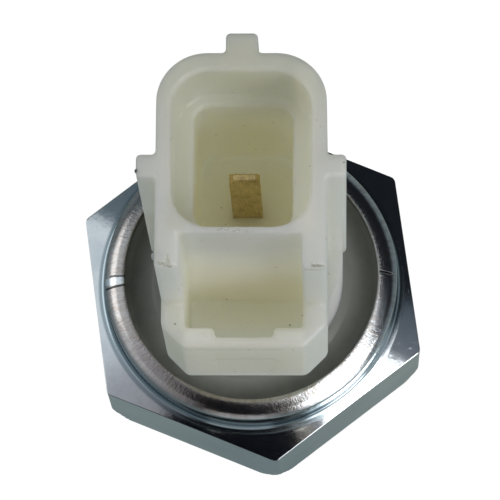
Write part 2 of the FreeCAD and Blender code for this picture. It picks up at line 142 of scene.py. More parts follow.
def along(corners: Sequence[Station], step: float) -> Array:
    """Points on a chain of straight runs, no further apart than the step.

    Args:
        corners: The corners of the chain, in order.
        step: The longest distance between two points.

    Returns:
        Array of points x 2 that holds every corner.
    """
    runs = [np.array(corners[:1], float)]
    for here, there in zip(corners[:-1], corners[1:]):
        count = max(1, int(np.ceil(np.hypot(there[0] - here[0], there[1] - here[1]) / step)))
        share = (np.arange(count) + 1)[:, None] / count
        runs.append(np.array(here) + share * (np.array(there) - np.array(here)))
    return np.concatenate(runs)


def quarter(centre: Station, bend: float, first: float, last: float, count: int) -> list[Station]:
    """Points on an arc: centre + bend (cos a, sin a), with a from first to last in degrees."""
    angle = np.radians(np.linspace(first, last, count + 1))
    return [(centre[0] + bend * float(np.cos(a)), centre[1] + bend * float(np.sin(a))) for a in angle]


def ease(value: Array, low: float, high: float) -> Array:
    """0 below low, 1 above high and 3 t^2 - 2 t^3 between them."""
    share = np.clip((value - low) / (high - low), 0.0, 1.0)
    return share * share * (3.0 - 2.0 * share)


@contextmanager
def edited(mesh: bpy.types.Mesh) -> Iterator[bmesh.types.BMesh]:
    """Open a mesh for editing and write it back at the end.

    Args:
        mesh: The mesh.

    Yields:
        Its editable copy.
    """
    work = bmesh.new()
    work.from_mesh(mesh)
    yield work
    work.to_mesh(mesh)
    work.free()


def rounded_copy(node: str, name: str, width: float, steps: int,
                 share: Callable[[Array, Array], float]) -> Piece:
    """Copy a solid's mesh, with its flat faces whole again and its edges broken by a round.

    Args:
        node: The solid that is copied.
        name: Name of the new piece.
        width: Width of the round in millimetres.
        steps: How many facets the round has.
        share: Gives each sharp edge's share of that width from its two ends, in millimetres.

    Returns:
        The new piece, which stands for the solid.
    """
    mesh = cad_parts[node].data.copy()
    mesh.name = name
    with edited(mesh) as work:
        bmesh.ops.remove_doubles(work, verts=work.verts, dist=WELD_DISTANCE)
        bmesh.ops.dissolve_limit(work, angle_limit=np.radians(FLAT_DEGREES), verts=work.verts,
                                 edges=work.edges)
        bmesh.ops.bisect_plane(work, geom=work.verts[:] + work.edges[:] + work.faces[:], dist=ON_PLANE,
                               plane_co=(0.0, 0.0, 0.0), plane_no=(1.0, 0.0, 0.0))
        spare = [edge for edge in work.edges if edge.calc_face_angle(1.0) < np.radians(FLAT_DEGREES)
                 and max(abs(vertex.co.x) for vertex in edge.verts) > 10.0 * ON_PLANE]
        bmesh.ops.dissolve_edges(work, edges=spare, use_verts=False)
        weights = work.edges.layers.float.new("bevel_weight_edge")
        for edge in work.edges:
            if edge.calc_face_angle(0.0) > np.radians(SHARP_DEGREES):
                edge[weights] = share(*(np.array(vertex.co) / MM for vertex in edge.verts))
    piece = bpy.data.objects.new(name, mesh)
    bpy.context.scene.collection.objects.link(piece)
    bevel = piece.modifiers.new("EdgeRound", "BEVEL")
    bevel.width = width * MM
    bevel.segments = steps
    bevel.limit_method = "WEIGHT"
    bevel.use_clamp_overlap = False
    bevel.loop_slide = False
    flat = piece.modifiers.new("FlatFaces", "WEIGHTED_NORMAL")
    flat.keep_sharp = True
    return piece


# finishes


@dataclass(frozen=True)
class Noise:
    """A noise: features per millimetre, detail, roughness, and the band and share of its mask."""

    scale: float
    detail: float = 3.0
    rough: float = 0.5
    band: Band = (0.0, 1.0)
    stretch: Point = (1.0, 1.0, 1.0)
    share: float = 1.0


@dataclass(frozen=True)
class Mark:
    """A thin dark or pale line in a surface."""

    start: Point
    end: Point
    width: float
    strength: float = 1.0


def operator(operation: str, swapped: bool = False) -> Callable[["Signal", Any], "Signal"]:
    """Method that adds a Math node on a signal and another value, in that order unless swapped."""
    def method(first: "Signal", second: Any) -> "Signal":
        """Add the node."""
        return first.recipe.maths(operation, *((second, first) if swapped else (first, second)))
    return method


@dataclass(frozen=True)
class Signal:
    """A value in a node tree; arithmetic on it adds Math nodes."""

    recipe: "Recipe"
    socket: bpy.types.NodeSocket

    __add__ = __radd__ = operator("ADD")
    __mul__ = __rmul__ = operator("MULTIPLY")
    __sub__ = operator("SUBTRACT")
    __rsub__ = operator("SUBTRACT", swapped=True)
    __truediv__ = operator("DIVIDE")
    at_least = operator("MAXIMUM")
    at_most = operator("MINIMUM")

    def step(self, low: float, high: float) -> "Signal":
        """Smooth step from 0 at low to 1 at high, where low may be the larger."""
        return self.recipe.signal("MapRange", {"Value": self, "From Min": low, "From Max": high},
                                  interpolation_type="SMOOTHSTEP", clamp=True)


class Recipe:
    """Node tree of one material."""

    def __init__(self, name: str, tree: bpy.types.NodeTree | None = None) -> None:
        """Start an empty tree.

        Args:
            name: Name of the material.
            tree: A tree to fill, such as the world's; a new material's where it is left out.
        """
        self.material: Material | None = None
        if tree is None:
            self.material = bpy.data.materials.new(name)
            self.material.use_nodes = True
            tree = self.material.node_tree
        tree.nodes.clear()
        self.tree = tree

    def node(self, kind: str, values: Mapping[Any, Any], **settings: Any) -> bpy.types.Node:
        """Add any node.

        Args:
            kind: Type name of the node, without its common start.
            values: What its sockets take, a number, a tuple or a Signal, by name or place.
            settings: Its properties; "stops" gives a ramp's positions and colours.

        Returns:
            The node.
        """
        made = self.tree.nodes.new(f"ShaderNode{kind}")
        for key, value in settings.items():
            if key == "stops":
                ramp = made.color_ramp
                while len(ramp.elements) < len(value):
                    ramp.elements.new(0.5)
                for element, (place, colour) in zip(ramp.elements, value):
                    element.position = place
                    element.color = (*colour, 1.0)
            else:
                setattr(made, key, value)
        for key, value in values.items():
            socket = made.inputs[key]
            if isinstance(value, Signal):
                self.tree.links.new(value.socket, socket)
            elif isinstance(value, tuple) and socket.type == "RGBA" and len(value) == 3:
                socket.default_value = (*value, 1.0)
            else:
                socket.default_value = value
        return made

    def signal(self, kind: str, values: Mapping[Any, Any], output: int | str = 0, **settings: Any) -> Signal:
        """Add any node and give one of its outputs."""
        return Signal(self, self.node(kind, values, **settings).outputs[output])

    def maths(self, operation: str, *inputs: Any) -> Signal:
        """Add a Math node on numbers or signals."""
        return self.signal("Math", dict(enumerate(inputs)), operation=operation)

    def vector(self, operation: str, *inputs: Any, output: str = "Vector") -> Signal:
        """Add a Vector Math node and give the output of that name."""
        return self.signal("VectorMath", dict(enumerate(inputs)), output, operation=operation)

    def place(self) -> Signal:
        """Object coordinates in millimetres."""
        return self.stretched(self.signal("TexCoord", {}, "Object"), (1.0 / MM,) * 3)

    def stretched(self, where: Signal, factors: Point) -> Signal:
        """The place with each of its coordinates multiplied."""
        return self.vector("MULTIPLY", where, factors)

    def parts(self, value: Signal) -> tuple[Signal, ...]:
        """The three numbers of a vector."""
        return tuple(Signal(self, part) for part in self.node("SeparateXYZ", {0: value}).outputs)

    def joined(self, *numbers: Any) -> Signal:
        """A vector of three numbers."""
        return self.signal("CombineXYZ", dict(enumerate(numbers)))

    def noise(self, where: Signal, noise: Noise, output: int | str = 0) -> Signal:
        """Soft noise of about 0 to 1."""
        where = where if noise.stretch == Noise.stretch else self.stretched(where, noise.stretch)
        return self.signal("TexNoise", {"Vector": where, "Scale": noise.scale, "Detail": noise.detail,
                                        "Roughness": noise.rough}, output)

    def veil(self, where: Signal, noise: Noise) -> Signal:
        """Mask of 0 to the noise's share: the noise stepped over its band."""
        return self.noise(where, noise).step(*noise.band) * noise.share

    def within(self, *sides: tuple[Signal, Band]) -> Signal:
        """Product of the smooth steps of several values, each over its own band."""
        return reduce(Signal.__mul__, [value.step(*band) for value, band in sides])

    def cells(self, where: Signal, scale: float) -> Signal:
        """Distance to the nearest of scattered points."""
        return self.signal("TexVoronoi", {"Vector": where, "Scale": scale}, "Distance", feature="F1")

    def mix(self, share: Any, first: Any, second: Any) -> Signal:
        """Blend two colours."""
        return self.signal("Mix", {0: share, 6: first, 7: second}, 2, data_type="RGBA")

    def layers(self, colour: Any, *layers: tuple[Any, Any]) -> Any:
        """Lay more colours over a first one, each by its share."""
        return reduce(lambda below, layer: self.mix(layer[0], below, layer[1]), layers, colour)

    def near_line(self, where: Signal, mark: Mark, core: float = 0.0) -> Signal:
        """Mask of the places near a mark.

        Args:
            where: The place, in millimetres.
            mark: The mark, whose line is start + share (end - start), with a share of 0 to 1.
            core: Share of its width within which the mask is full.

        Returns:
            1 in the core and 0 beyond the width.
        """
        run = np.array(mark.end) - np.array(mark.start)
        offset = self.vector("SUBTRACT", where, mark.start)
        share = self.vector("DOT_PRODUCT", offset, tuple(map(float, run / (run @ run))), output="Value")
        share = share.at_least(0.0).at_most(1.0)
        foot = self.signal("VectorMath", {0: tuple(map(float, run)), "Scale": share}, operation="SCALE")
        return self.vector("DISTANCE", offset, foot, output="Value").step(mark.width, mark.width * core)

    def bumps(self, *heights: tuple[Signal, float]) -> Signal:
        """Lay heights over one another.

        Args:
            heights: Each height of 0 to 1, with the depth in millimetres that it stands for.

        Returns:
            The normal.
        """
        below: dict[str, Any] = {}
        for height, depth in heights:
            values = {"Height": height, "Distance": depth * MM, "Strength": 1.0}
            below = {"Normal": self.signal("Bump", values | below)}
        return below["Normal"]

    def surfaced(self, values: Mapping[Any, Any], kind: str = "BsdfPrincipled") -> Material:
        """Close the tree with a shader and give the material."""
        self.node("OutputMaterial", {"Surface": self.signal(kind, values)})
        return self.material


def dress(piece: Piece, material: Material) -> None:
    """Give a piece or a carried-over solid one material."""
    piece.data.materials.clear()
    piece.data.materials.append(material)


@dataclass(frozen=True)
class NaturalNylon:
    """Uncoloured moulded nylon: milky, a little green, with fine specks; painted light makes it lighter and
    yellower down in its sockets, with painted shade and a painted glow in places.

    The bands are in millimetres, those called width in square millimetres of x squared.
    """

    name: str = "natural_nylon"
    pale: Colour = (0.86, 0.865, 0.77)
    # a warmer tone: at random in clouds, and painted light down inside the sockets
    warm_tone_and_light: Colour = (0.92, 0.915, 0.82)
    # painted light at the bottom of the socket, lighter and yellower in place of the shade there and the
    # light bounced inside the plastic
    painted_depth_light: Colour = (0.95, 0.94, 0.84)
    # painted shade, laid on the back of the rim, the left ledge and the left arm of the latch frame
    painted_shade: Colour = (0.71, 0.715, 0.60)
    front: Colour = (0.86, 0.82, 0.70)
    soil: Colour = (0.10, 0.085, 0.055)
    # painted glows: emission in the socket, the latch pocket, the latch front and the right ledge, in place
    # of light coming through the thin walls
    painted_socket_glow: Colour = (0.048, 0.045, 0.020)
    painted_recess_glow: Colour = (0.050, 0.046, 0.028)
    painted_latch_glow: Colour = (0.030, 0.024, 0.013)
    painted_ledge_glow: Colour = (0.050, 0.046, 0.034)
    mouth_width: Band = (38.0, 27.0)
    mouth_front: Band = (-5.4, -3.4)
    mouth_back: Band = (9.6, 8.2)
    mouth_depth: Band = (57.0, 37.0)
    socket_depth: Band = (51.0, 45.0)
    ledge_height: Band = (46.0, 49.0)
    left_ledge: Band = (-3.6, -4.6)
    right_ledge: Band = (3.6, 4.6)
    recess_width: Band = (26.0, 20.0)
    recess_back: Band = (-2.9, -4.6)
    recess_depth: Band = (55.0, 46.0)
    recess_floor: Band = (50.0, 42.0)
    recess_dim: float = 0.35
    rear_height: Band = (46.0, 56.0)
    rear_reach: Band = (-1.0, 9.0)
    frame_left: Band = (-4.2, -5.2)
    frame_height: Band = (47.0, 44.0)
    face_front: Band = (-10.1, -10.6)
    face_width: Band = (25.0, 20.0)
    warm_share: float = 0.55
    deep_share: float = 0.9
    recess_share: float = 0.5
    ledge_share: float = 0.5
    frame_share: float = 0.65
    face_share: float = 0.85
    cloud: Noise = Noise(0.16, 4.0, 0.6, (0.35, 0.7), share=0.35)
    flow: Noise = Noise(0.9, 4.0, 0.6, stretch=(0.5, 0.5, 0.12), share=0.5)
    speck_spacing: float = 1.15
    speck_size: Band = (0.13, 0.06)
    speck_groups: Noise = Noise(0.7, 2.0, band=(0.52, 0.62), share=0.6)
    dust: Noise = Noise(5.0, 2.0, band=(0.68, 0.78), share=0.24)
    wander: Noise = Noise(2.2, 4.0)
    wander_reach: float = 0.4
    skin: Noise = Noise(2.4, 4.0, 0.6)
    waves: Noise = Noise(0.35, 2.0)
    skin_depth: float = 0.035
    wave_depth: float = 0.16
    mark_depth: float = 0.12
    mark_core: float = 0.3
    marks: tuple[Mark, ...] = (
        Mark((-6.6, -6.75, 56.0), (-5.5, -7.1, 56.0), 0.2, 0.45),
        Mark((-5.4, -7.1, 56.0), (-4.8, -7.1, 56.0), 0.2, 0.4),
        Mark((-5.55, -6.3, 56.0), (-5.5, -6.8, 56.0), 0.2, 0.3),
        Mark((5.5, -6.95, 56.0), (6.6, -7.1, 56.0), 0.26, 0.6),
        Mark((4.8, -7.2, 55.3), (6.6, -7.2, 55.2), 0.2, 0.35),
        Mark((-1.9, -4.2, 56.0), (0.4, -4.25, 56.0), 0.12, 0.3),
    )
    # faint dark lines across the latch front face, in the specks' dark colour but not dented
    faint_bands: tuple[Mark, ...] = (
        Mark((-4.6, -10.6, 44.0), (2.8, -10.6, 44.0), 0.6, 0.17),
        Mark((-2.4, -10.6, 40.2), (2.3, -10.6, 40.2), 0.6, 0.13),
    )

    def tinted(self, recipe: Recipe, where: Signal) -> tuple[Signal, Signal]:
        """Tint the places by where they are.

        Args:
            recipe: The tree that is filled.
            where: The place, in millimetres.

        Returns:
            The colour, with painted light and painted shade laid in, and a painted glow, an emission that
            stands for light coming through the walls.
        """
        x, y, z = recipe.parts(where)
        inside = recipe.within((x * x, self.mouth_width), (y, self.mouth_front), (y, self.mouth_back))
        depth = z.step(*self.mouth_depth) * inside
        pocket = recipe.within((x * x, self.recess_width), (y, self.recess_back), (z, self.recess_depth))
        ledges = inside * z.step(*self.ledge_height)
        face = recipe.within((y, self.face_front), (x * x, self.face_width))
        near_floor = self.recess_dim + z.step(*self.recess_floor) * (1.0 - self.recess_dim)
        colour = recipe.layers(
            self.pale,
            (recipe.veil(where, self.cloud), self.warm_tone_and_light),
            # painted light: lighter, yellower colour down inside the socket and the latch pocket
            (depth * (self.warm_share + recipe.noise(where, self.flow) * self.flow.share), self.warm_tone_and_light),
            (depth * depth * self.deep_share, self.painted_depth_light),
            (pocket * self.recess_share, self.warm_tone_and_light),
            # painted shade on the back of the rim, the left ledge and the left frame arm
            (recipe.within((z, self.rear_height), (y, self.rear_reach)), self.painted_shade),
            (ledges * x.step(*self.left_ledge) * self.ledge_share, self.painted_shade),
            (recipe.within((x, self.frame_left), (z, self.frame_height)) * self.frame_share, self.painted_shade),
            (face * self.face_share, self.front),
        )
        # painted glow: the plastic emits light where light through its walls would reach
        glow = recipe.layers(
            BLACK,
            (z.step(*self.socket_depth) * inside, self.painted_socket_glow),
            (pocket * near_floor, self.painted_recess_glow),
            (face, self.painted_latch_glow),
            (ledges * x.step(*self.right_ledge), self.painted_ledge_glow),
        )
        return colour, glow

    def soiled(self, recipe: Recipe, where: Signal, colour: Signal) -> tuple[Signal, Signal]:
        """Add the specks, the dust, the marks and the faint dark bands.

        Args:
            recipe: The tree that is filled.
            where: The place, in millimetres.
            colour: The clean colour.

        Returns:
            The soiled colour, and a mask of the marks, which are also dents.
        """
        specks = recipe.cells(where, self.speck_spacing).step(*self.speck_size)
        specks = specks * recipe.veil(where, self.speck_groups)
        dirt = (specks + recipe.veil(where, self.dust)).at_most(1.0)
        wander = recipe.noise(where, self.wander, "Color")
        reach = self.wander_reach
        shift = recipe.vector("MULTIPLY_ADD", wander, (2.0 * reach,) * 3, (-reach,) * 3)
        ragged = recipe.vector("ADD", where, shift)
        dents = [recipe.near_line(ragged, mark, self.mark_core) for mark in self.marks]
        # the faint dark bands, which are not dented
        band_lines = [recipe.near_line(ragged, stain) for stain in self.faint_bands]
        drawn = zip(dents + band_lines, self.marks + self.faint_bands)
        lines = [(line * mark.strength, self.soil) for line, mark in drawn]
        return recipe.layers(colour, (dirt, self.soil), *lines), reduce(Signal.at_least, dents)

    def material(self) -> Material:
        """Make the material.

        Returns:
            Nylon with painted light that makes it lighter and yellower down inside the sockets, painted
            shade and a painted glow in places, with cloudy flow, specks and marks.
        """
        recipe = Recipe(self.name)
        where = recipe.place()
        colour, glow = self.tinted(recipe, where)
        colour, dents = self.soiled(recipe, where, colour)
        skin = recipe.noise(where, self.skin)
        waves = recipe.noise(where, self.waves)
        heights = (skin, self.skin_depth), (waves, self.wave_depth), (1.0 - dents, self.mark_depth)
        return recipe.surfaced({
            "Base Color": colour,
            "Roughness": 0.36 + skin * 0.16,
            "IOR": 1.50,
            "Subsurface Weight": 1.0,
            "Subsurface Radius": (1.0, 0.96, 0.8),
            "Subsurface Scale": 0.006,
            "Specular IOR Level": 0.42,
            # the painted glow
            "Emission Color": glow,
            "Emission Strength": 1.0,
            "Normal": recipe.bumps(*heights),
        })


@dataclass(frozen=True)
class ZincPlate:
    """Bright bluish zinc on steel: cloudy faces, a grained rolled lip, fine scratches.

    The bands called height start at the hexagon's top and those called reach at the foot's radius.
    """

    name: str = "zinc_plate"
    bright: Colour = (0.66, 0.69, 0.71)
    dull: Colour = (0.52, 0.56, 0.59)
    stain: Colour = (0.36, 0.30, 0.26)
    worn: Colour = (0.52, 0.50, 0.48)
    patina: Colour = (0.36, 0.31, 0.28)
    # painted shade for the collar wall
    shade: Colour = (0.24, 0.30, 0.33)
    # painted dark reflection along the hexagon's top edges
    painted_dark_edge: Colour = (0.10, 0.11, 0.12)
    # painted reflection: a lighter collar wall on its lower right side
    lit_wall: Colour = (0.90, 0.95, 0.97)
    polished: Colour = (0.78, 0.83, 0.86)
    # near-black painted shade inside the nicks, which are also dents
    cut: Colour = (0.03, 0.03, 0.03)
    hexagon_top: float = 22.5
    foot_radius: float = 13.09
    crown: float = 0.06
    lip_height: Band = (0.8, 1.9)
    patina_side: Band = (5.0, -4.0)
    foot_height: Band = (0.75, 0.4)
    foot_reach: Band = (0.16, -0.09)
    wall_height: Band = (3.0, 2.5)
    wall_reach: Band = (0.21, -0.04)
    lit_side: Point = (0.79, -0.613, 0.0)
    lit_band: Band = (0.90, 0.97)
    edge_above: Band = (-0.004, -0.012)
    edge_below: Band = (-0.1, -0.05)
    worn_share: float = 0.4
    patina_share: float = 0.3
    patina_mottle: float = 0.5
    wall_share: float = 0.85
    cloud: Noise = Noise(0.22, 5.0, 0.65, (0.42, 0.68), share=0.7)
    mottle: Noise = Noise(1.1, 4.0, 0.6, (0.56, 0.74), share=0.3)
    spokes: float = 26.0
    spoke_slant: float = 0.55
    grain: Noise = Noise(1.6, 6.0, 0.72, (0.44, 0.62), share=0.7)
    coarse: Noise = Noise(1.0, 4.0, 0.6, (0.5, 0.66), (0.35, 0.35, 1.2), 0.35)
    scratches: tuple[Noise, ...] = (
        Noise(1.0, 3.0, 0.6, (0.66, 0.74), (0.4, 9.0, 9.0)),
        Noise(1.0, 3.0, 0.6, (0.68, 0.76), (7.0, 0.8, 7.0)),
    )
    waves: Noise = Noise(0.5)
    fine: Noise = Noise(4.5, 3.0, 0.65)
    flat_spot: Mark = Mark((-12.2, -0.52, 0.0), (-11.0, -0.46, 0.0), 0.4, 0.8)
    nicks: tuple[Mark, ...] = (
        Mark((-12.0, -0.06, 0.0), (-10.7, -0.06, 0.0), 0.09, 0.6),
        Mark((-12.4, -1.15, 0.0), (-10.7, -0.82, 0.0), 0.1, 0.85),
        Mark((11.0, 0.35, 0.0), (11.9, 0.2, 0.0), 0.13),
    )
    wave_depth: float = 0.003
    grain_depth: float = 0.010
    fine_depth: float = 0.008
    mottle_depth: float = 0.0015
    nick_depth: float = 0.2
    nick_core: float = 0.4
    spot_core: float = 0.625

    def material(self) -> Material:
        """Make the material.

        Returns:
            Plated steel whose lip carries lines that run from its inner to its outer edge.
        """
        recipe = Recipe(self.name)
        where = recipe.place()
        x, y, z = recipe.parts(where)
        flat = recipe.joined(x, y, 0.0)
        reach = recipe.vector("LENGTH", flat, output="Value")
        heading = recipe.vector("NORMALIZE", flat)
        height, out = z - self.hexagon_top, reach - self.foot_radius
        on_lip = height.step(*self.lip_height)
        round_lip = recipe.stretched(heading, (self.spokes,) * 3)
        round_lip = recipe.vector("ADD", round_lip, recipe.joined(0.0, 0.0, reach * self.spoke_slant))
        grain = recipe.noise(round_lip, self.grain)
        mottle = recipe.noise(where, self.mottle)
        fine = recipe.noise(where, self.fine)
        off_lip = 1.0 - on_lip
        scuffs = reduce(Signal.at_least, [recipe.veil(where, lines) * off_lip for lines in self.scratches])
        foot = recipe.within((height, self.foot_height), (out, self.foot_reach))
        wall = recipe.within((height, self.wall_height), (out, self.wall_reach))
        lit = recipe.vector("DOT_PRODUCT", heading, self.lit_side, output="Value").step(*self.lit_band)
        level = height + out * self.crown
        patina_side = on_lip * x.step(*self.patina_side)
        pressed = on_lip * recipe.near_line(flat, self.flat_spot, self.spot_core)
        cuts = [on_lip * recipe.near_line(flat, nick, self.nick_core) for nick in self.nicks]
        colour = recipe.layers(
            self.bright,
            (recipe.veil(where, self.cloud), self.dull),
            (mottle.step(*self.mottle.band) * self.mottle.share, self.dull),
            (on_lip * grain.step(*self.grain.band) * self.grain.share, self.stain),
            (on_lip * self.worn_share, self.worn),
            (patina_side * (self.patina_share + mottle * self.patina_mottle), self.patina),
            (on_lip * recipe.veil(round_lip, self.coarse), self.stain),
            # painted shade on the collar wall, giving way to a painted lighter reflection on its lower right
            # side
            (wall * self.wall_share, recipe.mix(lit, self.shade, self.lit_wall)),
            # painted dark line just below the hexagon's top, where its edge break would mirror the bright
            # card
            (recipe.within((level, self.edge_above), (level, self.edge_below)), self.painted_dark_edge),
            (pressed * self.flat_spot.strength, self.polished),
            # the nicks: dents in the lip, with painted shade in them
            *((line * nick.strength, self.cut) for line, nick in zip(cuts, self.nicks)),
        )
        normal = recipe.bumps(
            (recipe.noise(where, self.waves), self.wave_depth),
            (grain * on_lip, self.grain_depth),
            (fine * on_lip, self.fine_depth),
            (mottle, self.mottle_depth),
            (1.0 - reduce(Signal.at_least, cuts), self.nick_depth),
        )
        lip_roughness = on_lip * (0.02 + grain * 0.07 + fine * 0.08)
        return recipe.surfaced({
            "Base Color": colour,
            "Metallic": 1.0,
            "Roughness": 0.035 + mottle * 0.03 + scuffs * 0.12 + foot * 0.1 + lip_roughness,
            "Normal": normal,
        })


@dataclass(frozen=True)
class BareMetal:
    """Sheet, wire or rivet metal with rolled or drawn lines."""

    name: str
    pale: Colour
    dark: Colour
    roughness: float
    grain: Grain = Grain.ALL_WAYS
    tarnish: float = 0.4
    lines: Noise = Noise(1.3, 5.0, 0.65, (0.35, 0.7), share=0.45)
    blotch: Noise = Noise(0.6, 4.0, 0.6, (0.48, 0.7))
    line_depth: float = 0.012

    def material(self) -> Material:
        """Make the material.

        Returns:
            Metal with lines the way its grain runs, and blotches of tarnish.
        """
        recipe = Recipe(self.name)
        where = recipe.place()
        stretch = {
            Grain.RADIAL: (3.0, 3.0, 0.6),
            Grain.LENGTHWISE: (7.0, 7.0, 0.5),
            Grain.ALL_WAYS: (3.0, 3.0, 3.0),
        }[self.grain]
        lines = recipe.noise(recipe.stretched(where, stretch), self.lines)
        blotch = recipe.noise(where, self.blotch)
        colour = recipe.layers(
            self.pale,
            (lines.step(*self.lines.band) * self.lines.share, self.dark),
            (blotch.step(*self.blotch.band) * self.tarnish, self.dark),
        )
        return recipe.surfaced({
            "Base Color": colour,
            "Metallic": 1.0,
            "Roughness": self.roughness + lines * 0.18 + blotch * 0.08,
            "Normal": recipe.bumps((lines, self.line_depth)),
        })


@dataclass(frozen=True)
class DullSolid:
    """Rubber, potting compound or moulded phenolic: no metal, cloudy, with a fine skin."""

    name: str
    body: Colour
    other: Colour
    roughness: float
    coat: float = 0.0
    skin_scale: float = 2.0
    skin_depth: float = 0.03
    # painted bounced light: a lighter colour towards the axis
    painted_bounce: Colour | None = None
    painted_bounce_reach: Band = (10.2, 7.8)
    painted_bounce_share: float = 0.8
    cloud: Noise = Noise(0.35, 5.0, 0.62, (0.3, 0.72))

    def material(self) -> Material:
        """Make the material.

        Returns:
            Two close colours in clouds over a fine skin, with painted bounced light, lighter round the axis,
            where it has one.
        """
        recipe = Recipe(self.name)
        where = recipe.place()
        skin = recipe.noise(where, Noise(self.skin_scale, 4.0, 0.6))
        colour = recipe.mix(recipe.veil(where, self.cloud), self.body, self.other)
        # painted light: lighter near the boss, for light bounced off the moulding
        if self.painted_bounce is not None:
            reach = recipe.vector("LENGTH", recipe.stretched(where, (1.0, 1.0, 0.0)), output="Value")
            colour = recipe.mix(reach.step(*self.painted_bounce_reach) * self.painted_bounce_share, colour, self.painted_bounce)
        return recipe.surfaced({
            "Base Color": colour,
            "Roughness": self.roughness + skin * 0.15,
            "Coat Weight": self.coat,
            "Coat Roughness": 0.2,
            "Normal": recipe.bumps((skin, self.skin_depth)),
        })


# the pieces


